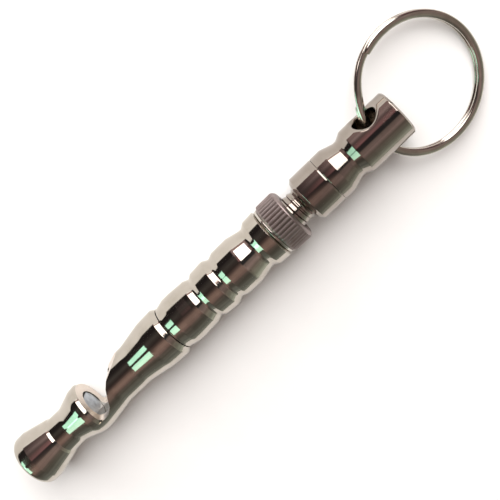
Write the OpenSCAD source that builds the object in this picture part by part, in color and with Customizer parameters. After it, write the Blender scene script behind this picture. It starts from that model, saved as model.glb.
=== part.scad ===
// Adjustable high-pitch training whistle with a split ring.
// The whistle's axis is X: the mouth end is at the origin and the ring end points along +X.
// The whistle lies on its side, Z up, with the air window facing +Y.

/* [Overall] */
// Length from the mouth end to the tail end
whistle_len = 79.5; // [79:0.5:81]
// Radius of the widest turned stretch, at the mouth and at the lock nut
body_r = 4.5; // [4.4:0.05:4.6]

/* [Mouthpiece] */
// Radius of the waist that the teeth grip
mouth_waist_r = 3.22; // [3.2:0.01:3.26]
// Radius of the second waist, under the lip
lip_waist_r = 3.56; // [3.5:0.02:3.7]
// Radius of the air bore
bore_r = 2.5; // [2.4:0.05:2.5]
// Radius of the inlet at the mouth
inlet_r = 2.8; // [2.7:0.05:2.85]
// Depth of the inlet
inlet_len = 4; // [3.5:0.25:4.5]

/* [Air window] */
// Distance from the mouth end to the face that the air jet leaves
window_x = 14.5; // [14.2:0.1:14.8]
// Depth of the window beyond the whistle's axis
window_depth = 1.8; // [1.5:0.1:1.9]
// Slope of the lip above the whistle's axis
lip_angle = 22; // [18:1:24]
// Tilt of the window above the horizontal
window_tilt = -3; // [-8:0.5:0]
// Height of the windway's flat above the axis
windway_flat = 2.05; // [1.8:0.05:2.15]

/* [Tuning screw] */
// Pitch of the tuning thread
pitch = 0.8; // [0.75:0.05:0.85]
// Crest radius of the tuning thread
thread_r = 2.65; // [2.55:0.05:2.7]
// Root radius of the tuning thread
thread_root_r = 2.3; // [2.2:0.05:2.4]
// Radius of the knob and of the tail
knob_r = 4; // [3.8:0.05:4]
// Running clearance of the pieces that turn or slide
clearance = 0.05; // [0.04:0.01:0.06]

/* [Lock nut] */
// Number of knurl ridges round the lock nut
knurl_count = 40; // [36:1:44]
// Depth of the knurl
knurl_depth = 0.2; // [0.15:0.01:0.25]

/* [Split ring] */
// Mean radius of the split ring's coil
ring_r = 10.08; // [9.9:0.02:10.2]
// Width of the ring's wire across the coil
wire_w = 1.25; // [1.15:0.05:1.3]
// Thickness of the ring's wire along the coil's axis
wire_t = 0.72; // [0.65:0.01:0.74]
// Radius of the cross hole that the ring passes through
hole_r = 2; // [2:0.05:2.1]
// Tilt of the cross hole above the horizontal
hole_tilt = 13; // [11:0.5:13]
// Tilt of the ring's swing axis above the horizontal
ring_tilt = 4; // [4:0.5:6]
// Slope of the ring, down to the surface that the whistle lies on
ring_slope = 10.3; // [9:0.1:10.5]

/* [Hidden] */
$fn = 96;
flank_steps = 10;
flank_blend = 0.2;                         // share of a flank that is rounded at each end
far = 6;                                   // clears every radius in a cut
mouth_edge_r = 1.2;
plug_recess = 0.15;                        // from the window's face back to the plug
tail_edge = 0.3;                           // chamfer of the tail's end
seam_x = 32.4;                             // the mouthpiece meets the barrel
spigot_r = 3.3;
spigot_end = 38;
barrel_end = 53.8;
bearing_gap = 0.02;                        // between the barrel, the washer and the nut
washer_x = barrel_end + bearing_gap;
washer_t = 0.42;
nut_x = washer_x + washer_t + bearing_gap;
nut_end = 58.1;
knob_x = 60.3;                             // front of the knob
joint_x = 65.3;                            // fine line between the knob and the tail
thread_start = 41;
thread_bore_r = thread_r + clearance;      // plain bore of the barrel, the washer and the nut
tip_x = 26.5;                              // face of the plunger
tip_len = 5;
tip_r = bore_r - 3 * clearance;
seal_r = 0.45;                             // section radius of the seal
seal_x = tip_x + 2.5;
stem_r = 1.9;
stem_pin_r = 1;
hole_x = 75.1;
tail_r = knob_r - 0.05;
tail_spigot_r = 2.2;
tail_spigot_end = joint_x + 5;

// A straight step from 0 to 1 with rounded ends.
function ease(t) =
    t < flank_blend ? pow(t, 2) / (2 * flank_blend * (1 - flank_blend)) :
    t > 1 - flank_blend ? 1 - pow(1 - t, 2) / (2 * flank_blend * (1 - flank_blend)) :
    (t - flank_blend / 2) / (1 - flank_blend);

// Points along a straight flank with rounded ends, from one radius to another.
function flank(x0, r0, x1, r1) =
    [for (i = [0:flank_steps]) let (t = i / flank_steps)
        [x0 + (x1 - x0) * t, r0 + (r1 - r0) * ease(t)]];

// Points of a flank that starts on a straight taper and runs out level.
function run_out(x0, r0, x1, r1) =
    [for (i = [0:flank_steps]) let (t = i / flank_steps)
        [x0 + (x1 - x0) * t, r1 + (r0 - r1) * pow(1 - t, 2)]];

// Points of a round edge, from one angle to another.
function corner(x, r, radius, from, to) =
    [for (i = [0:flank_steps]) let (a = from + (to - from) * i / flank_steps)
        [x + radius * cos(a), r + radius * sin(a)]];

// A solid of revolution about X. The outline runs along X as [x, radius] points.
module turned(outline) {
    rotate([0, 90, 0]) rotate_extrude()
        polygon([for (p = outline) [p[1], p[0]]]);
}

module rod(x0, x1, r) {
    translate([x0, 0, 0]) rotate([0, 90, 0]) cylinder(h = x1 - x0, r = r);
}

module cone(x0, r0, x1, r1) {
    translate([x0, 0, 0]) rotate([0, 90, 0]) cylinder(h = x1 - x0, r1 = r0, r2 = r1);
}

// Turns the local Z axis to point sideways along +Y, raised by an elevation.
module facing(elevation) {
    rotate([elevation - 90, 0, 0]) children();
}

// The scoop that opens the bore: an upright face, a round floor, then the sloping lip.
module window_cut() {
    foot_r = 0.8;
    foot_x = window_x + foot_r;
    floor_r = 2.6;
    lip_x = 19.7;
    lip_q = 2.17;
    brow = [0.9, 0.8];                     // run and rise of the steep face below the lip
    reach = (far - lip_q) / tan(lip_angle);
    facing(window_tilt) rotate([90, 0, 0]) linear_extrude(height = 4 * far, center = true)
        polygon(concat(
            [[window_x, far]],
            corner(foot_x, foot_r - window_depth, foot_r, -180, -90),
            corner(foot_x, floor_r - window_depth, floor_r, -90, -30),
            [[lip_x, lip_q] - brow, [lip_x, lip_q], [lip_x + reach, far]]));
}

mouth_outline = concat(
    [[0, 0]],
    corner(mouth_edge_r, body_r - mouth_edge_r, mouth_edge_r, 180, 90),
    [[2.4, body_r], [6.55, 3.5]],
    run_out(7, 3.28, 9, mouth_waist_r),
    flank(9.2, mouth_waist_r, 13.3, 4.33),
    flank(13.8, 4.35, 20, lip_waist_r),
    flank(23.4, lip_waist_r, 29.2, 4.38),
    flank(31.3, 4.44, seam_x - 0.05, 3.98),
    [[seam_x, 3.95], [seam_x, spigot_r], [spigot_end, spigot_r], [spigot_end, 0]]);

module mouthpiece() {
    color([0.72, 0.71, 0.69]) difference() {
        turned(mouth_outline);
        rod(inlet_len, spigot_end + 1, bore_r);
        rod(-1, inlet_len, inlet_r);
        cone(-0.01, inlet_r + 0.3, 0.3, inlet_r);
        window_cut();
    }
}

module windway_plug() {
    color([0.62, 0.64, 0.66]) difference() {
        rod(inlet_len, window_x - plug_recess, bore_r);
        facing(window_tilt) translate([0, -far, windway_flat]) cube([window_x + far, 2 * far, far]);
    }
}

barrel_outline = concat(
    [[seam_x, 0]],
    flank(seam_x, 3.95, 34.3, 4.33),
    flank(35.2, 4.32, 38.1, 4.16),
    flank(38.2, 4.15, 39.3, 3.78),
    flank(39.4, 3.78, 40.3, 4.22),
    [[42.3, 4.35]],
    flank(42.6, 4.34, 43.65, 3.87),
    flank(43.75, 3.87, 44.9, 4.24),
    flank(47.5, 4.26, 50.4, 3.7),
    flank(50.5, 3.7, 51.6, 4.27),
    [[53.5, 4.38], [barrel_end, 4.2], [barrel_end, 0]]);

module barrel() {
    color([0.7, 0.69, 0.68]) difference() {
        turned(barrel_outline);
        rod(seam_x - 1, spigot_end, spigot_r);
        rod(spigot_end - 1, thread_start, stem_r + 0.6);
        rod(thread_start - 1, barrel_end + 1, thread_bore_r);
        cone(barrel_end - 0.4, thread_bore_r, barrel_end + 0.01, thread_r + 0.45);
    }
}

module lock_washer() {
    color([0.78, 0.77, 0.74]) difference() {
        turned([[washer_x, 0], [washer_x, 4.05], [washer_x + 0.12, 4.18],
            [washer_x + washer_t - 0.12, 4.18], [washer_x + washer_t, 4.05], [washer_x + washer_t, 0]]);
        rod(washer_x - 1, washer_x + 2, thread_bore_r);
    }
}

// The knurl's outline: one ridge and one valley for each step round the nut.
module knurl_outline() {
    step = 360 / knurl_count;
    polygon([for (i = [0:knurl_count - 1], k = [0:1])
        let (r = body_r - k * knurl_depth, a = step * (i + k / 2)) [r * cos(a), r * sin(a)]]);
}

module lock_nut() {
    knurl_end = 57.6;
    color([0.5, 0.47, 0.46]) difference() {
        union() {
            translate([nut_x + 0.2, 0, 0]) rotate([0, 90, 0])
                linear_extrude(height = knurl_end - nut_x - 0.2) knurl_outline();
            turned([[nut_x, 0], [nut_x, 4.1], [nut_x + 0.25, 4.3], [knurl_end - 0.2, 4.3],
                [knurl_end, 4.42], [knurl_end + 0.15, 4.4], [nut_end, 4.0], [nut_end, 0]]);
        }
        rod(nut_x - 1, nut_end + 1, thread_bore_r);
        cone(nut_end - 0.3, thread_bore_r, nut_end + 0.01, thread_r + 0.35);
    }
}

// Outline of the thread, crest by crest. The nut and the barrel clear its crests.
function thread_outline(x0, x1) =
    [for (i = [0:floor((x1 - x0) / pitch) - 1], k = [0:3]) let (at = [0.05, 0.42, 0.58, 0.95])
        [x0 + pitch * (i + at[k]), k == 0 || k == 3 ? thread_root_r : thread_r]];

module adjusting_screw() {
    color([0.66, 0.64, 0.6]) turned(concat(
        [[tip_x + 1.1, 0], [tip_x + 1.1, stem_pin_r], [tip_x + tip_len, stem_pin_r]],
        [[tip_x + tip_len, stem_r], [thread_start - 0.6, stem_r], [thread_start, thread_root_r]],
        thread_outline(thread_start, knob_x - 0.4),
        [[knob_x - 0.2, thread_root_r + 0.2], [knob_x, thread_r + 0.15],
            [60.6, 3.5], [61.1, knob_r]],
        [[joint_x - 0.08, knob_r], [joint_x, knob_r - 0.08], [joint_x, tail_spigot_r],
            [tail_spigot_end, tail_spigot_r], [tail_spigot_end, 0]]));
}

module plunger_tip() {
    color([0.72, 0.58, 0.33]) difference() {
        turned([[tip_x, 0], [tip_x, tip_r - 0.25], [tip_x + 0.25, tip_r],
            [seal_x - 0.5, tip_r], [seal_x - 0.5, 1.5], [seal_x + 0.5, 1.5], [seal_x + 0.5, tip_r],
            [tip_x + tip_len - 0.25, tip_r], [tip_x + tip_len, tip_r - 0.25], [tip_x + tip_len, 0]]);
        rod(tip_x + 1.1, tip_x + tip_len + 1, stem_pin_r);
    }
}

module plunger_seal() {
    color([0.08, 0.08, 0.08]) translate([seal_x, 0, 0]) rotate([0, 90, 0])
        rotate_extrude() translate([bore_r - clearance - seal_r, 0]) circle(r = seal_r);
}

// The cross hole with a trumpet-shaped rim at both mouths.
module ring_hole() {
    rim_r = hole_r + 0.85;
    translate([hole_x, 0, 0]) facing(hole_tilt) {
        cylinder(h = 4 * far, r = hole_r, center = true);
        for (side = [0, 180]) rotate([side, 0, 0])
            translate([0, 0, tail_r - 1]) cylinder(h = 1.2, r1 = hole_r, r2 = rim_r);
    }
}

module tail_knob() {
    color([0.6, 0.57, 0.56]) difference() {
        turned(concat(
            [[joint_x, 0], [joint_x, knob_r - 0.08], [joint_x + 0.08, knob_r], [67.2, knob_r]],
            [[69.35, 3.28], [69.9, 3.28], [71.1, tail_r]],
            [[whistle_len - tail_edge, tail_r], [whistle_len, tail_r - tail_edge], [whistle_len, 0]]));
        rod(joint_x - 1, tail_spigot_end, tail_spigot_r);
        ring_hole();
    }
}

// The split ring: one wire, two turns, with a step up from the lower turn to the upper one.
coil_from = 152;
step_from = 470;
step_to = 510;
coil_to = 828;
coil_pitch = wire_t + 0.04;
coil_sections = 112;
wire_chamfer = 0.22;
half_w = wire_w / 2;
half_t = wire_t / 2;
wire_section = [
    [half_w, half_t - wire_chamfer], [half_w - wire_chamfer, half_t],
    [wire_chamfer - half_w, half_t], [-half_w, half_t - wire_chamfer],
    [-half_w, wire_chamfer - half_t], [wire_chamfer - half_w, -half_t],
    [half_w - wire_chamfer, -half_t], [half_w, wire_chamfer - half_t]];

function coil_height(a) =
    coil_pitch * (ease(min(max((a - step_from) / (step_to - step_from), 0), 1)) - 0.5);

module coil() {
    corners = len(wire_section);
    angles = [for (i = [0:coil_sections]) coil_from + (coil_to - coil_from) * i / coil_sections];
    points = [for (a = angles, p = wire_section)
        [(ring_r + p[0]) * cos(a), (ring_r + p[0]) * sin(a), coil_height(a) + p[1]]];
    sides = [for (i = [0:coil_sections - 1], j = [0:corners - 1])
        let (k = (j + 1) % corners, a = i * corners, b = a + corners) [a + j, b + j, b + k, a + k]];
    polyhedron(points, concat(sides,
        [[for (j = [0:corners - 1]) j]],
        [[for (j = [corners - 1:-1:0]) coil_sections * corners + j]]));
}

module split_ring() {
    color([0.74, 0.73, 0.7])
        translate([hole_x, 0, 0]) rotate([ring_tilt, 0, 0]) rotate([0, ring_slope, 0])
            translate([ring_r - 0.42, 0, 0]) coil();
}

mouthpiece();
windway_plug();
barrel();
lock_washer();
lock_nut();
adjusting_screw();
plunger_tip();
plunger_seal();
tail_knob();
split_ring();
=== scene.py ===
"""An adjustable high-pitch training whistle with a split ring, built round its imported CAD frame.

Lengths in the outlines are millimetres in the frame's axes: X runs along the whistle from the
mouth end, Z is up and the air window faces +Y. Every mesh is scaled to metres as it is made.
"""

import math

import bmesh
import bpy
from mathutils import Matrix, Vector


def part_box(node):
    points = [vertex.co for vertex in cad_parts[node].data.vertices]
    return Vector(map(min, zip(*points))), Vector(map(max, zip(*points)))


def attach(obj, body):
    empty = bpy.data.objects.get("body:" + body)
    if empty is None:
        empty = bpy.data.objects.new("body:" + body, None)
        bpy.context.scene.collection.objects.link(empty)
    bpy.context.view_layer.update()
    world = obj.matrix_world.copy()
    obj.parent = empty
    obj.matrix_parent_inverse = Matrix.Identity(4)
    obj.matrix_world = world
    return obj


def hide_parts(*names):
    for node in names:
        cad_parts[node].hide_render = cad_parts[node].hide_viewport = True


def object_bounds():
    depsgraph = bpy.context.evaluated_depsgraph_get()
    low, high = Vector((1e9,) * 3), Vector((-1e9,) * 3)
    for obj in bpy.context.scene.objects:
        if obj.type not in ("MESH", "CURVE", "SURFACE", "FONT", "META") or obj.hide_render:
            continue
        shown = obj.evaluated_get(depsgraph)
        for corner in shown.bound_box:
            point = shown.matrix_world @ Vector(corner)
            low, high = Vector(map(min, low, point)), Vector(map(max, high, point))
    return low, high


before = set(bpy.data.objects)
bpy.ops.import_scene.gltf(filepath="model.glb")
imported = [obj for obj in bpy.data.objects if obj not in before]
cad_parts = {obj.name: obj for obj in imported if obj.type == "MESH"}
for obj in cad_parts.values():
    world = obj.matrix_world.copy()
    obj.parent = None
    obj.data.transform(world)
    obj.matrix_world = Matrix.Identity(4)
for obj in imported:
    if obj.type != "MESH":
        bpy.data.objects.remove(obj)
cad_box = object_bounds()

MM = 0.001
TURN = 2 * math.pi
GAP = 0.01                                 # kept between neighbouring faces, in millimetres
SEGMENTS = 192


# ---------------------------------------------------------------- sizes taken from the frame

def low(node):
    """Lowest corner of a CAD node, in millimetres."""
    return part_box(node)[0] / MM


def high(node):
    """Highest corner of a CAD node, in millimetres."""
    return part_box(node)[1] / MM


BODY_R = high("mouthpiece").y
SEAM_X = low("barrel").x
SPIGOT_END = high("mouthpiece").x
BARREL_END = high("barrel").x
PLUG_START = low("windway_plug").x
PLUG_END = high("windway_plug").x
WINDOW_X = PLUG_END + 0.15
TIP_X = low("plunger_tip").x
TIP_END = high("plunger_tip").x
STEM_X = low("adjusting_screw").x
SPIGOT_X = high("adjusting_screw").x
KNOB_R = high("adjusting_screw").z
JOINT_X = low("tail_knob").x
TAIL_END = high("tail_knob").x
SEAL_X = (low("plunger_seal").x + high("plunger_seal").x) / 2

BORE_R = 2.5
INLET_R = 2.8
SPIGOT_R = 3.3
TAIL_R = KNOB_R - 0.05
TAIL_SPIGOT_R = 2.2
WINDOW_TILT = math.radians(-3)
WINDWAY_FLAT = 2.05
PITCH = 0.8
THREAD_R = 2.65
THREAD_ROOT_R = 2.48
THREAD_BORE_R = THREAD_R + 0.05
HOLE_X = 75.1
HOLE_R = 2.0
HOLE_TILT = math.radians(13)
RING_R = 10.08
RING_TILT = math.radians(4)
RING_SLOPE = math.radians(10.3)
WIRE_W = 1.25
WIRE_T = 0.72


# ---------------------------------------------------------------- outlines

def ease(t, blend=0.2):
    """A straight step from 0 to 1 whose ends are rounded over a share of its length."""
    t = min(max(t, 0.0), 1.0)
    if t < blend:
        return t ** 2 / (2 * blend * (1 - blend))
    if t > 1 - blend:
        return 1 - (1 - t) ** 2 / (2 * blend * (1 - blend))
    return (t - blend / 2) / (1 - blend)


def flank(x0, r0, x1, r1, steps=30):
    """Points along a straight flank with rounded ends."""
    return [(x0 + (x1 - x0) * i / steps, r0 + (r1 - r0) * ease(i / steps)) for i in range(steps + 1)]


def run_out(x0, r0, x1, r1, steps=24):
    """Points of a flank that starts on a taper and runs out level."""
    return [(x0 + (x1 - x0) * i / steps, r1 + (r0 - r1) * (1 - i / steps) ** 2) for i in range(steps + 1)]


def arc(x, r, radius, start, end, steps=16):
    """Points of a round edge, between two angles in degrees."""
    angles = [math.radians(start + (end - start) * i / steps) for i in range(steps + 1)]
    return [(x + radius * math.cos(a), r + radius * math.sin(a)) for a in angles]


def broken_edges(outline, radius, closed):
    """The outline with each sharp corner rounded, as a tumbled and plated edge is."""
    steps = 6
    count = len(outline)
    out = []
    for i, point in enumerate(outline):
        here = Vector(point)
        if not closed and i in (0, count - 1):
            out.append(here)
            continue
        before = here - Vector(outline[i - 1])
        after = Vector(outline[(i + 1) % count]) - here
        if before.length < 1e-6 or after.length < 1e-6:
            continue
        turn = before.angle(after)
        if turn < math.radians(12):
            out.append(here)
            continue
        reach = min(radius * math.tan(turn / 2), 0.45 * before.length, 0.45 * after.length)
        start = here - before.normalized() * reach
        end = here + after.normalized() * reach
        for k in range(steps + 1):
            t = k / steps
            out.append(start * (1 - t) ** 2 + here * (2 * t * (1 - t)) + end * t ** 2)
    return [(p.x, p.y) for p in out]


# ---------------------------------------------------------------- mesh building

def make_piece(name, vertices, faces, sharp=30):
    """A smooth-shaded object from points in millimetres, with edges over an angle left sharp."""
    mesh = bpy.data.meshes.new(name)
    mesh.from_pydata([Vector(v) * MM for v in vertices], [], faces)
    mesh.validate()
    bm = bmesh.new()
    bm.from_mesh(mesh)
    bmesh.ops.recalc_face_normals(bm, faces=bm.faces)
    bm.to_mesh(mesh)
    bm.free()
    shade(mesh, sharp)
    piece = bpy.data.objects.new(name, mesh)
    bpy.context.scene.collection.objects.link(piece)
    return piece


def shade(mesh, sharp=30):
    mesh.shade_smooth()
    mesh.set_sharp_from_angle(angle=math.radians(sharp))


def revolved_points(outline, segments=SEGMENTS, ripple=None):
    """Vertices and faces of an outline turned about X. An outline that starts off the axis is closed."""
    closed = outline[0][1] > 1e-6
    vertices = []
    rings = []
    for x, r in outline:
        if r < 1e-6:
            rings.append([len(vertices)] * segments)
            vertices.append((x, 0, 0))
            continue
        rings.append(list(range(len(vertices), len(vertices) + segments)))
        for k in range(segments):
            angle = TURN * k / segments
            radius = ripple(x, r, angle) if ripple else r
            vertices.append((x, radius * math.cos(angle), radius * math.sin(angle)))
    faces = []
    last = len(rings) if closed else len(rings) - 1
    for i in range(last):
        first, second = rings[i], rings[(i + 1) % len(rings)]
        for k in range(segments):
            n = (k + 1) % segments
            corners = (first[k], first[n], second[n], second[k])
            face = tuple(dict.fromkeys(corners))
            if len(face) > 2:
                faces.append(face)
    return vertices, faces


def revolved(name, outline, edge=0.1, segments=SEGMENTS, ripple=None, sharp=30):
    closed = outline[0][1] > 1e-6
    smooth = broken_edges(outline, edge, closed)
    vertices, faces = revolved_points(smooth, segments, ripple)
    return make_piece(name, vertices, faces, sharp)


def cut(piece, *cutters):
    """Subtracts the cutters from the piece, keeps the result as its mesh and removes the cutters."""
    for cutter in cutters:
        step = piece.modifiers.new("cut", "BOOLEAN")
        step.operation = "DIFFERENCE"
        step.solver = "EXACT"
        step.object = cutter
    graph = bpy.context.evaluated_depsgraph_get()
    result = bpy.data.meshes.new_from_object(piece.evaluated_get(graph))
    piece.modifiers.clear()
    old = piece.data
    result.name = piece.name
    piece.data = result
    bpy.data.meshes.remove(old)
    for cutter in cutters:
        bpy.data.objects.remove(cutter)
    shade(piece.data)
    return piece


def sideways(tilt):
    """Matrix that takes local Z to +Y raised by a tilt, and keeps X."""
    return Matrix.Rotation(tilt - math.pi / 2, 3, "X")


# ---------------------------------------------------------------- materials

def node(tree, kind, **values):
    made = tree.nodes.new(kind)
    for key, value in values.items():
        setattr(made, key, value)
    return made


def link(tree, source, target):
    tree.links.new(source, target)


def noise(tree, vector, scale, detail=3.0, stretch=None):
    """A noise value on the object's own coordinates, in millimetres, stretched along X if asked."""
    if stretch:
        mapping = node(tree, "ShaderNodeMapping")
        mapping.inputs["Scale"].default_value = stretch
        link(tree, vector, mapping.inputs["Vector"])
        vector = mapping.outputs["Vector"]
    texture = node(tree, "ShaderNodeTexNoise")
    texture.inputs["Scale"].default_value = scale
    texture.inputs["Detail"].default_value = detail
    link(tree, vector, texture.inputs["Vector"])
    return texture.outputs["Fac"]


def spread(tree, value, low_value, high_value, from_low=0.35, from_high=0.65):
    """Maps a noise value onto a range of roughness or mix."""
    ranged = node(tree, "ShaderNodeMapRange")
    ranged.inputs["From Min"].default_value = from_low
    ranged.inputs["From Max"].default_value = from_high
    ranged.inputs["To Min"].default_value = low_value
    ranged.inputs["To Max"].default_value = high_value
    link(tree, value, ranged.inputs["Value"])
    return ranged.outputs["Result"]


def blend_colour(tree, factor, first, second):
    mix = node(tree, "ShaderNodeMix", data_type="RGBA")
    mix.inputs["A"].default_value = (*first, 1)
    mix.inputs["B"].default_value = (*second, 1)
    link(tree, factor, mix.inputs["Factor"])
    return mix.outputs["Result"]


def bumped(tree, height, strength, distance, below=None):
    bump = node(tree, "ShaderNodeBump")
    bump.inputs["Strength"].default_value = strength
    bump.inputs["Distance"].default_value = distance
    link(tree, height, bump.inputs["Height"])
    if below:
        link(tree, below, bump.inputs["Normal"])
    return bump.outputs["Normal"]


def new_material(name):
    """An empty node material, its shader and its object coordinates in millimetres."""
    material = bpy.data.materials.new(name)
    material.use_nodes = True
    tree = material.node_tree
    tree.nodes.clear()
    output = node(tree, "ShaderNodeOutputMaterial")
    shader = node(tree, "ShaderNodeBsdfPrincipled")
    link(tree, shader.outputs["BSDF"], output.inputs["Surface"])
    coordinates = node(tree, "ShaderNodeTexCoord")
    scaled = node(tree, "ShaderNodeMapping")
    scaled.inputs["Scale"].default_value = (1 / MM, 1 / MM, 1 / MM)
    link(tree, coordinates.outputs["Object"], scaled.inputs["Vector"])
    return material, tree, shader, scaled.outputs["Vector"]


def milled_over(tree, smudge, colour, roughness):
    """The colour and roughness given, made paler and rougher on the faces marked as milled."""
    rougher = 0.26
    pale = blend_colour(tree, smudge, (0.80, 0.72, 0.64), (0.66, 0.58, 0.51))
    milled = node(tree, "ShaderNodeAttribute", attribute_name="milled").outputs["Fac"]
    cut_face = node(tree, "ShaderNodeMix", data_type="RGBA")
    link(tree, milled, cut_face.inputs["Factor"])
    link(tree, colour, cut_face.inputs["A"])
    link(tree, pale, cut_face.inputs["B"])
    cut_rough = node(tree, "ShaderNodeMath", operation="MULTIPLY_ADD")
    cut_rough.inputs[1].default_value = rougher
    link(tree, milled, cut_rough.inputs[0])
    link(tree, roughness, cut_rough.inputs[2])
    return cut_face.outputs["Result"], cut_rough.outputs["Value"]


def plated_metal(name, clean, tarnished, rough, lines, seed=0.0):
    """Bright plating over turned brass: tool lines round the part, smudges, pits and tarnish."""
    material, tree, shader, place = new_material(name)
    shader.inputs["Metallic"].default_value = 1.0
    offset = node(tree, "ShaderNodeMapping")
    offset.inputs["Location"].default_value = (seed, seed, seed)
    link(tree, place, offset.inputs["Vector"])
    place = offset.outputs["Vector"]
    smudge = noise(tree, place, 0.45, 5.0)
    tool = noise(tree, place, 1.0, 4.0, (9.0, 0.02, 0.02))
    pits = noise(tree, place, 6.0, 2.0)
    colour = blend_colour(tree, spread(tree, smudge, 0.0, 1.0, 0.4, 0.75), clean, tarnished)
    roughness = spread(tree, smudge, rough[0], rough[1])
    colour, roughness = milled_over(tree, smudge, colour, roughness)
    link(tree, colour, shader.inputs["Base Color"])
    link(tree, roughness, shader.inputs["Roughness"])
    ground = bumped(tree, tool, lines, 0.00001)
    link(tree, bumped(tree, pits, 0.03, 0.000012, ground), shader.inputs["Normal"])
    return material


def satin_metal(name, clean, dull, rough, seed=0.0):
    """Bare machined metal: fine cut lines and a dull, slightly blotched face."""
    material, tree, shader, place = new_material(name)
    shader.inputs["Metallic"].default_value = 1.0
    blotch = noise(tree, place, 1.1, 4.0)
    grain = noise(tree, place, 14.0, 3.0)
    colour = blend_colour(tree, spread(tree, blotch, 0.0, 1.0), clean, dull)
    link(tree, colour, shader.inputs["Base Color"])
    link(tree, spread(tree, blotch, rough[0], rough[1]), shader.inputs["Roughness"])
    link(tree, bumped(tree, grain, 0.25, 0.00002), shader.inputs["Normal"])
    return material


def seal_rubber(name):
    """Black nitrile: matt, with a fine moulded skin and a little bloom."""
    material, tree, shader, place = new_material(name)
    bloom = noise(tree, place, 1.5, 4.0)
    skin = noise(tree, place, 20.0, 2.0)
    colour = blend_colour(tree, spread(tree, bloom, 0.0, 1.0), (0.014, 0.014, 0.015), (0.04, 0.04, 0.042))
    link(tree, colour, shader.inputs["Base Color"])
    link(tree, spread(tree, bloom, 0.5, 0.7), shader.inputs["Roughness"])
    link(tree, bumped(tree, skin, 0.2, 0.00001), shader.inputs["Normal"])
    return material


def table_top(name):
    """Pale matt table with the faintest mottle."""
    material, tree, shader, place = new_material(name)
    mottle = noise(tree, place, 0.05, 4.0)
    colour = blend_colour(tree, spread(tree, mottle, 0.0, 1.0), (0.86, 0.855, 0.84), (0.82, 0.815, 0.8))
    link(tree, colour, shader.inputs["Base Color"])
    shader.inputs["Roughness"].default_value = 0.9
    shader.inputs["Specular IOR Level"].default_value = 0.2
    return material


BODY_PLATING = plated_metal(
    "body_plating", (0.53, 0.49, 0.43), (0.46, 0.42, 0.36), (0.05, 0.11), 0.10)
# The screw and tail plating is darker than the body's. This is painted shade, standing in for the darker
# surroundings that the knob and tail reflect.
SHADE_DARKENED_SCREW_PLATING = plated_metal(
    "screw_plating", (0.38, 0.34, 0.30), (0.33, 0.29, 0.25), (0.06, 0.12), 0.12, 31.0)
WASHER_PLATING = plated_metal(
    "washer_plating", (0.60, 0.57, 0.52), (0.50, 0.46, 0.41), (0.08, 0.16), 0.10, 17.0)
KNURL_PLATING = plated_metal(
    "knurl_plating", (0.36, 0.30, 0.29), (0.26, 0.21, 0.20), (0.36, 0.50), 0.18, 53.0)
RING_WIRE = plated_metal(
    "ring_wire", (0.60, 0.56, 0.50), (0.46, 0.42, 0.37), (0.08, 0.18), 0.05, 71.0)
PLUG_METAL = satin_metal("plug_metal", (0.46, 0.50, 0.54), (0.38, 0.41, 0.45), (0.28, 0.45))
BRASS = satin_metal("plunger_brass", (0.80, 0.60, 0.28), (0.58, 0.42, 0.20), (0.22, 0.38))
RUBBER = seal_rubber("seal_rubber")


def finish_piece(piece, material, node_name, body):
    """Gives a piece its material, hides the CAD node that it replaces and attaches the piece to its body.
    """
    piece.data.materials.clear()
    piece.data.materials.append(material)
    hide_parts(node_name)
    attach(piece, body)
    return piece


# ---------------------------------------------------------------- mouthpiece and its window

def window_prism():
    """The scoop that opens the bore: an upright face, a round floor, then the sloping lip."""
    half, top, depth = 12, 7, 1.8
    foot_r, floor_r = 0.8, 2.6
    foot_x = WINDOW_X + foot_r
    lip_x, lip_q = 19.7, 2.17
    slope = math.radians(22)
    outline = [(WINDOW_X, top)]
    outline += arc(foot_x, foot_r - depth, foot_r, -180, -90, 12)
    outline += arc(foot_x, floor_r - depth, floor_r, -90, -30, 24)[1:]
    outline += [(lip_x - 0.9, lip_q - 0.8), (lip_x, lip_q), (lip_x + (top - lip_q) / math.tan(slope), top)]
    turn = sideways(WINDOW_TILT)
    count = len(outline)
    points = [turn @ Vector((x, side, q)) for side in (-half, half) for x, q in outline]
    faces = [tuple(range(count)), tuple(range(count, 2 * count))]
    faces += [(i, (i + 1) % count, count + (i + 1) % count, count + i) for i in range(count)]
    prism = make_piece("window_prism", points, faces)
    two_slots(prism)
    for face in prism.data.polygons:
        face.material_index = 1
    return prism


def rim_cutter():
    """Rolls off the rim of the window's face, over the part of the circle that the window leaves open."""
    start_x, start_r = 13.8, 4.4
    end_r = 4.02
    clear = 5.2
    steps = 120
    sweep = math.radians(114)
    section = flank(start_x, start_r, WINDOW_X + 0.02, end_r, 12)
    section += [(WINDOW_X + 0.5, end_r), (WINDOW_X + 0.5, clear), (start_x, clear)]
    turn = sideways(WINDOW_TILT)
    count = len(section)
    points = []
    for i in range(steps + 1):
        a = -sweep + 2 * sweep * i / steps
        points += [turn @ Vector((x, r * math.sin(a), r * math.cos(a))) for x, r in section]
    faces = [tuple(range(count)), tuple(range(steps * count, (steps + 1) * count))]
    for i in range(steps):
        for k in range(count):
            n = (k + 1) % count
            faces.append((i * count + k, i * count + n, (i + 1) * count + n, (i + 1) * count + k))
    return make_piece("rim_cutter", points, faces)


def two_slots(piece):
    """Two empty material slots: the second one tells the milled faces after the cut."""
    for _ in range(2):
        piece.data.materials.append(None)


def mark_milled(piece):
    """Keeps the milled faces as an attribute, so that the plating can look different there."""
    mark = piece.data.attributes.new("milled", "FLOAT", "FACE")
    for i, face in enumerate(piece.data.polygons):
        mark.data[i].value = float(face.material_index == 1)
        face.material_index = 0


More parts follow.
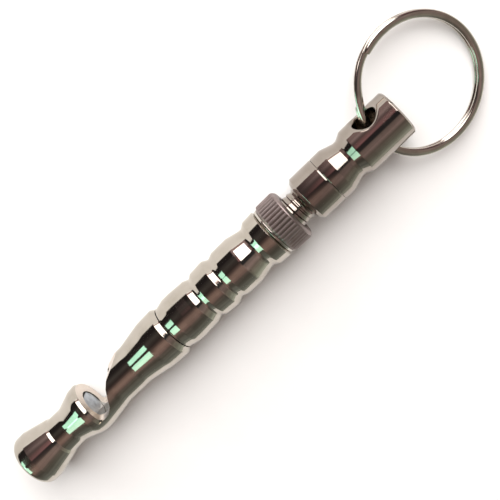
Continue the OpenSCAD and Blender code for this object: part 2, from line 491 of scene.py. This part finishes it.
def build_mouthpiece():
    edge_r, waist_r, lip_waist_r = 1.2, 3.22, 3.56
    outline = arc(edge_r, BODY_R - edge_r, edge_r, 180, 90)
    outline += [(2.4, BODY_R), (6.55, 3.5)]
    outline += run_out(7, 3.28, 9, waist_r)
    outline += flank(9.2, waist_r, 13.3, 4.33)
    outline += flank(13.8, 4.35, 20, lip_waist_r)
    outline += flank(23.4, lip_waist_r, 29.2, 4.38)
    outline += flank(31.3, 4.44, SEAM_X - 0.15, 3.98)
    outline += [(SEAM_X - 0.12, 3.6), (SEAM_X - 2 * GAP, 3.5), (SEAM_X - 2 * GAP, SPIGOT_R)]
    outline += [(SPIGOT_END, SPIGOT_R), (SPIGOT_END, BORE_R)]
    outline += [(PLUG_START, BORE_R), (PLUG_START, INLET_R)]
    outline += [(0.35, INLET_R), (0, INLET_R + 0.35)]
    piece = revolved("mouthpiece", outline, 0.06)
    two_slots(piece)
    cut(piece, window_prism(), rim_cutter())
    mark_milled(piece)
    finish_piece(piece, BODY_PLATING, "mouthpiece", "whistle_body")


def build_plug():
    """The block that fills the bore up to the window, with a flat that leaves the windway."""
    steps = 96
    radius = BORE_R - GAP
    side = math.acos(WINDWAY_FLAT / radius)
    chamfer = 0.1
    turn = sideways(WINDOW_TILT)

    def section(inset):
        points = []
        for i in range(steps + 1):
            a = side + (TURN - 2 * side) * i / steps
            height = min((radius - inset) * math.cos(a), WINDWAY_FLAT - inset)
            points.append(((radius - inset) * math.sin(a), height))
        return points

    stations = [(PLUG_START, chamfer), (PLUG_START + chamfer, 0)]
    stations += [(PLUG_END - chamfer, 0), (PLUG_END, chamfer)]
    points = [turn @ Vector((x, y, z)) for x, inset in stations for y, z in section(inset)]
    count = steps + 1
    faces = [tuple(range(count)), tuple(range(3 * count, 4 * count))]
    for i in range(3):
        for k in range(count):
            n = (k + 1) % count
            faces.append((i * count + k, i * count + n, (i + 1) * count + n, (i + 1) * count + k))
    piece = make_piece("windway_plug", points, faces)
    finish_piece(piece, PLUG_METAL, "windway_plug", "whistle_body")


# ---------------------------------------------------------------- barrel, washer and lock nut

def build_barrel():
    bore, stem_bore = THREAD_BORE_R, 2.5
    shoulder_x = 40.0
    outline = [(SEAM_X, SPIGOT_R)]
    outline += flank(SEAM_X, 3.95, 34.3, 4.33)
    outline += flank(35.2, 4.32, 38.1, 4.16)
    outline += flank(38.2, 4.15, 39.3, 3.78)
    outline += flank(39.4, 3.78, 40.3, 4.22)
    outline += [(42.3, 4.35)]
    outline += flank(42.6, 4.34, 43.65, 3.87)
    outline += flank(43.75, 3.87, 44.9, 4.24)
    outline += flank(47.5, 4.26, 50.4, 3.7)
    outline += flank(50.5, 3.7, 51.6, 4.27)
    outline += [(53.5, 4.38), (BARREL_END - 0.12, 4.12), (BARREL_END - 2 * GAP, 3.9)]
    outline += [(BARREL_END - 2 * GAP, bore + 0.4), (BARREL_END - 0.4, bore), (shoulder_x, bore)]
    outline += [(shoulder_x, stem_bore), (SPIGOT_END, stem_bore), (SPIGOT_END, SPIGOT_R)]
    piece = revolved("barrel", outline, 0.05)
    finish_piece(piece, BODY_PLATING, "barrel", "whistle_body")


def build_washer():
    start, end = low("lock_washer").x, high("lock_washer").x
    outer, bore = high("lock_washer").y - GAP, THREAD_BORE_R
    outline = [(start, bore), (start, outer), (end, outer), (end, bore)]
    piece = revolved("lock_washer", outline, 0.14)
    finish_piece(piece, WASHER_PLATING, "lock_washer", "washer")


def build_nut():
    ridges = 40
    depth = 0.2
    start, end = low("lock_nut").x, high("lock_nut").x
    knurl_end = 57.6
    bore = THREAD_BORE_R

    def knurl(x, r, angle):
        if r < 4.0 or x > knurl_end:
            return r
        valley = 1 - abs(math.cos(ridges * angle / 2)) ** 0.7
        return min(r, BODY_R - GAP - depth * valley)

    rows = [(start + 0.35 + (knurl_end - start - 0.35) * i / 12, BODY_R) for i in range(13)]
    outline = [(start, bore + 0.3), (start, 4.1)] + rows
    outline += [(knurl_end + 0.02, 4.42), (knurl_end + 0.2, 4.36), (end - 0.02, 3.95), (end, 3.8)]
    outline += [(end, bore + 0.35), (end - 0.3, bore), (start + 0.3, bore)]
    piece = revolved("lock_nut", outline, 0.06, ridges * 8, knurl)
    finish_piece(piece, KNURL_PLATING, "lock_nut", "nut")


# ---------------------------------------------------------------- tuning screw, plunger and seal

def build_screw():
    pin_r, stem_r = 1.0, 1.9
    thread_x, neck_x, knob_x = 41.0, 59.9, 60.3
    fall = 0.75                            # share of the pitch on the thread's long flank

    def helix(x, r, angle):
        if not thread_x < x < neck_x or abs(r - THREAD_ROOT_R) > 1e-6:
            return r
        turn = (x / PITCH - angle / TURN) % 1.0
        phase = 0.5 * turn / fall if turn < fall else 1 - 0.5 * (1 - turn) / (1 - fall)
        ridge = 0.5 + 0.5 * math.cos(TURN * phase)
        fade = min((x - thread_x) / PITCH, (neck_x - x) / (0.5 * PITCH), 1.0)
        return THREAD_ROOT_R + (THREAD_R - THREAD_ROOT_R) * ridge * fade

    rows = int((neck_x - thread_x) / PITCH * 20)
    outline = [(STEM_X, 0), (STEM_X, pin_r), (TIP_END, pin_r), (TIP_END, stem_r), (thread_x - 0.6, stem_r)]
    outline += [(thread_x + (neck_x - thread_x) * i / rows, THREAD_ROOT_R) for i in range(rows + 1)]
    outline += [(knob_x - 0.15, THREAD_ROOT_R + 0.2), (knob_x, THREAD_R + 0.15)]
    outline += [(60.6, 3.5), (61.1, KNOB_R)]
    outline += [(JOINT_X - 0.28, KNOB_R), (JOINT_X - GAP, KNOB_R - 0.08), (JOINT_X - GAP, TAIL_SPIGOT_R)]
    outline += [(SPIGOT_X, TAIL_SPIGOT_R), (SPIGOT_X, 0)]
    piece = revolved("adjusting_screw", outline, 0.1, 128, helix, 40)
    finish_piece(piece, SHADE_DARKENED_SCREW_PLATING, "adjusting_screw", "tuning_screw")


def build_plunger():
    outer, groove = 2.35, 1.5
    outline = [(TIP_X, 0), (TIP_X, outer), (SEAL_X - 0.5, outer), (SEAL_X - 0.5, groove)]
    outline += [(SEAL_X + 0.5, groove), (SEAL_X + 0.5, outer), (TIP_END, outer), (TIP_END, 1.02)]
    outline += [(TIP_X + 1.1, 1.02), (TIP_X + 1.1, 0)]
    piece = revolved("plunger_tip", outline, 0.12, 96)
    finish_piece(piece, BRASS, "plunger_tip", "tuning_screw")


def build_seal():
    section_r = (high("plunger_seal").x - low("plunger_seal").x) / 2
    middle_r = high("plunger_seal").y - section_r
    outline = arc(SEAL_X, middle_r, section_r, 0, 345, 23)
    piece = revolved("plunger_seal", outline, 0.01, 96)
    finish_piece(piece, RUBBER, "plunger_seal", "seal")


# ---------------------------------------------------------------- tail and split ring

def hole_cutter():
    """The cross hole with rims that roll over onto the tail's round surface."""
    rim, reach, segments, steps = 0.85, 7.0, 96, 12
    turn = sideways(HOLE_TILT)

    def level(radius, below, outside=0.0):
        ring = []
        for k in range(segments):
            a = TURN * k / segments
            surface = math.sqrt(TAIL_R ** 2 - (radius * math.sin(a)) ** 2)
            ring.append((radius * math.cos(a), radius * math.sin(a), surface - below + outside))
        return ring

    side = []
    for i in range(steps + 1):
        a = math.pi / 2 * i / steps
        side.append(level(HOLE_R + rim * (1 - math.cos(a)), rim * (1 - math.sin(a))))
    side.append(level(HOLE_R + rim + 0.03, -0.03))
    side.append([(x, y, reach) for x, y, _ in side[-1]])
    other = [[(x, y, -z) for x, y, z in ring] for ring in reversed(side)]
    rings = other + side
    points = [turn @ Vector(p) + Vector((HOLE_X, 0, 0)) for ring in rings for p in ring]
    last = (len(rings) - 1) * segments
    faces = [tuple(range(segments)), tuple(range(last, last + segments))]
    for i in range(len(rings) - 1):
        for k in range(segments):
            n = (k + 1) % segments
            a, b = i * segments, (i + 1) * segments
            faces.append((a + k, a + n, b + n, b + k))
    return make_piece("hole_cutter", points, faces)


def build_tail():
    socket_x = JOINT_X + 5
    outline = [(socket_x, 0), (socket_x, TAIL_SPIGOT_R), (JOINT_X + GAP, TAIL_SPIGOT_R)]
    outline += [(JOINT_X + GAP, KNOB_R - 0.04)]
    outline += [(JOINT_X + 0.06, KNOB_R), (67.2, KNOB_R), (69.35, 3.28), (69.9, 3.28), (71.1, TAIL_R)]
    chamfer = 0.3
    chamfer_x = TAIL_END - chamfer
    outline += [(71.1 + (chamfer_x - 71.1) * i / 20, TAIL_R) for i in range(1, 20)]
    outline += [(chamfer_x, TAIL_R), (TAIL_END, TAIL_R - chamfer), (TAIL_END, 0)]
    piece = revolved("tail_knob", outline, 0.2)
    cut(piece, hole_cutter())
    finish_piece(piece, SHADE_DARKENED_SCREW_PLATING, "tail_knob", "tuning_screw")


def build_ring():
    """One wire wound twice round, with a step from the lower turn up to the upper one."""
    start, step_from, step_to, end = 152, 470, 510, 828
    layer = WIRE_T + 0.04
    sections = 360
    end_sections = 4
    sides = 32
    around = [TURN * i / sides for i in range(sides)]
    outline = [(WIRE_W / 2 * math.cos(a), WIRE_T / 2 * math.sin(a)) for a in around]
    place = Matrix.Translation((HOLE_X, 0, 0)) @ Matrix.Rotation(RING_TILT, 4, "X")
    place = place @ Matrix.Rotation(RING_SLOPE, 4, "Y") @ Matrix.Translation((RING_R - 0.42, 0, 0))
    points = []
    for i in range(sections + 1):
        angle = start + (end - start) * i / sections
        height = layer * (ease((angle - step_from) / (step_to - step_from)) - 0.5)
        from_end = min(i, sections - i) / end_sections
        size = 1 - 0.22 * (1 - math.sqrt(1 - (1 - min(from_end, 1)) ** 2))
        a = math.radians(angle)
        for w, t in outline:
            r = RING_R + w * size
            points.append(place @ Vector((r * math.cos(a), r * math.sin(a), height + t * size)))
    count = len(outline)
    last = sections * count
    faces = [tuple(range(count)), tuple(range(last, last + count))]
    for i in range(sections):
        for k in range(count):
            n = (k + 1) % count
            a, b = i * count, (i + 1) * count
            faces.append((a + k, b + k, b + n, a + n))
    piece = make_piece("split_ring", points, faces, 45)
    finish_piece(piece, RING_WIRE, "split_ring", "ring")


# ---------------------------------------------------------------- table, light and camera

VIEW_LEAN = math.radians(20)
TOWARDS_VIEW = Vector((0, math.sin(VIEW_LEAN), math.cos(VIEW_LEAN)))
ACROSS_VIEW = TOWARDS_VIEW.cross(Vector((1, 0, 0)))


def seen_from(along, round_x):
    """Direction leaning from the view towards +X, and round X towards the whistle's far side."""
    b, g = math.radians(along), math.radians(round_x)
    flat = TOWARDS_VIEW * math.cos(g) + ACROSS_VIEW * math.sin(g)
    return Vector((math.sin(b), 0, 0)) + flat * math.cos(b)


def build_table():
    half = 15.0
    height = low("mouthpiece").z * MM
    corners = [(-half, -half), (half, -half), (half, half), (-half, half)]
    mesh = bpy.data.meshes.new("table")
    mesh.from_pydata([(x, y, height) for x, y in corners], [], [(0, 1, 2, 3)])
    table = bpy.data.objects.new("table", mesh)
    bpy.context.scene.collection.objects.link(table)
    mesh.materials.append(table_top("table_top"))


def sun(name, strength, along, round_x, spread_angle):
    """Soft daylight for the table only: the plating mirrors the room and the lamps instead."""
    data = bpy.data.lights.new(name, "SUN")
    data.energy = strength
    data.angle = math.radians(spread_angle)
    light = bpy.data.objects.new(name, data)
    light.rotation_mode = "QUATERNION"
    light.rotation_quaternion = seen_from(along, round_x).to_track_quat("Z", "Y")
    light.visible_glossy = False
    bpy.context.scene.collection.objects.link(light)


def lamp(name, colour, brightness, size, along, round_x, lights_table=True):
    """A soft rectangular lamp that faces the whistle, its first side along X."""
    distance = 0.6
    data = bpy.data.lights.new(name, "AREA")
    data.shape = "RECTANGLE"
    data.size, data.size_y = size
    data.energy = brightness * math.pi * size[0] * size[1]
    data.color = colour
    light = bpy.data.objects.new(name, data)
    direction = seen_from(along, round_x)
    centre = Vector(((cad_box[0].x + cad_box[1].x) / 2, 0, 0))
    side = (Vector((1, 0, 0)) - direction * direction.x).normalized()
    up = direction.cross(side)
    basis = Matrix((side, up, direction)).transposed().to_4x4()
    light.matrix_world = Matrix.Translation(centre + direction * distance) @ basis
    light.visible_diffuse = lights_table
    bpy.context.scene.collection.objects.link(light)


ROOM_LEFT = [
    (-136, (0.46, 0.48, 0.43)), (-104, (0.34, 0.36, 0.32)), (-91, (0.21, 0.22, 0.20)),
    (-75, (0.17, 0.17, 0.15)), (-60, (0.12, 0.11, 0.095)), (-47, (0.16, 0.13, 0.115)),
    (-40, (0.28, 0.19, 0.17)), (-18, (0.34, 0.23, 0.20)), (-3, (0.11, 0.075, 0.068)),
    (6, (0.05, 0.036, 0.034)), (28, (0.075, 0.066, 0.062)), (48, (0.03, 0.024, 0.025)),
    (66, (0.022, 0.018, 0.018)), (74, (0.40, 0.38, 0.34))]
ROOM_RIGHT = [
    (-136, (0.60, 0.62, 0.56)), (-104, (0.42, 0.45, 0.39)), (-82, (0.23, 0.24, 0.20)),
    (-52, (0.18, 0.15, 0.13)), (-36, (0.27, 0.20, 0.19)), (-17, (0.18, 0.14, 0.13)),
    (-11, (0.025, 0.026, 0.028)), (5, (0.03, 0.024, 0.026)), (10, (0.30, 0.15, 0.16)),
    (22, (0.26, 0.14, 0.145)), (30, (0.18, 0.12, 0.12)), (45, (0.34, 0.25, 0.25)),
    (66, (0.36, 0.25, 0.25)), (74, (0.46, 0.36, 0.34))]
ROOM_RIGHT_GAIN = 1.3


def colour_bands(tree, turn, bands, gain=1.0):
    """Colours of the room against the direction round X, in degrees from the view."""
    ramp = node(tree, "ShaderNodeValToRGB")
    link(tree, turn, ramp.inputs["Fac"])
    stops = ramp.color_ramp.elements
    while len(stops) < len(bands):
        stops.new(0.5)
    for stop, (angle, colour) in zip(stops, bands):
        stop.position = (angle + 180) / 360
        stop.color = (*(gain * c for c in colour), 1)
    return ramp.outputs["Color"]


def build_room():
    """A dim, blotchy room round the table, with a warmer and paler end beyond the ring."""
    world = bpy.data.worlds.new("room")
    bpy.context.scene.world = world
    world.use_nodes = True
    tree = world.node_tree
    tree.nodes.clear()
    output = node(tree, "ShaderNodeOutputWorld")
    background = node(tree, "ShaderNodeBackground")
    link(tree, background.outputs["Background"], output.inputs["Surface"])
    coordinates = node(tree, "ShaderNodeTexCoord")
    directions = coordinates.outputs["Generated"]
    parts = []
    for direction in (ACROSS_VIEW, TOWARDS_VIEW, Vector((1, 0, 0))):
        dot = node(tree, "ShaderNodeVectorMath", operation="DOT_PRODUCT")
        dot.inputs[1].default_value = direction
        link(tree, directions, dot.inputs[0])
        parts.append(dot.outputs["Value"])
    turn = node(tree, "ShaderNodeMath", operation="ARCTAN2")
    link(tree, parts[0], turn.inputs[0])
    link(tree, parts[1], turn.inputs[1])
    turned = spread(tree, turn.outputs["Value"], 0.0, 1.0, -math.pi, math.pi)
    left = colour_bands(tree, turned, ROOM_LEFT)
    right = colour_bands(tree, turned, ROOM_RIGHT, ROOM_RIGHT_GAIN)
    sides = node(tree, "ShaderNodeMix", data_type="RGBA")
    link(tree, spread(tree, parts[2], 0.0, 1.0, -0.14, 0.05), sides.inputs["Factor"])
    link(tree, left, sides.inputs["A"])
    link(tree, right, sides.inputs["B"])
    blotches = spread(tree, noise(tree, directions, 3.5, 3.0), 0.8, 1.2)
    shaded = node(tree, "ShaderNodeVectorMath", operation="SCALE")
    link(tree, sides.outputs["Result"], shaded.inputs[0])
    link(tree, blotches, shaded.inputs["Scale"])
    link(tree, shaded.outputs["Vector"], background.inputs["Color"])
    background.inputs["Strength"].default_value = 1.0


def build_lights():
    sun("daylight", 4.3, 8, 30, 70)
    lamp("window_lamp", (1.0, 0.98, 0.96), 3.6, (0.38, 0.60), 29, 32)
    mint = (0.52, 1.0, 0.80)
    lamp("tube_far", mint, 1.9, (0.46, 0.20), -57, 23.5, False)
    lamp("tube_near", mint, 1.9, (0.46, 0.24), -57, -15, False)


def build_camera():
    """A close camera above the tail's side, turned so that the whistle rises to the right."""
    lens, sensor = 60.2, 36.0
    away, foot_x, aim_x, aim_across = 125.7, 68.2, 49.4, 0.42
    rise = math.radians(43.92)
    place = Vector((foot_x, 0, 0)) + TOWARDS_VIEW * away
    aim = Vector((aim_x, 0, 0)) + ACROSS_VIEW * aim_across
    back = (place - aim).normalized()
    along = (Vector((1, 0, 0)) - back * back.x).normalized()
    across = back.cross(along)
    right = along * math.cos(rise) - across * math.sin(rise)
    up = along * math.sin(rise) + across * math.cos(rise)
    data = bpy.data.cameras.new("camera")
    data.lens, data.sensor_width = lens, sensor
    data.clip_start, data.clip_end = 0.01, 100
    camera = bpy.data.objects.new("camera", data)
    basis = Matrix((right, up, back)).transposed().to_4x4()
    camera.matrix_world = Matrix.Translation(place * MM) @ basis
    bpy.context.scene.collection.objects.link(camera)
    bpy.context.scene.camera = camera


build_camera()
build_table()
build_room()
build_lights()
build_mouthpiece()
build_plug()
build_barrel()
build_washer()
build_nut()
build_screw()
build_plunger()
build_seal()
build_tail()
build_ring()
bpy.context.scene.view_settings.view_transform = "Standard"
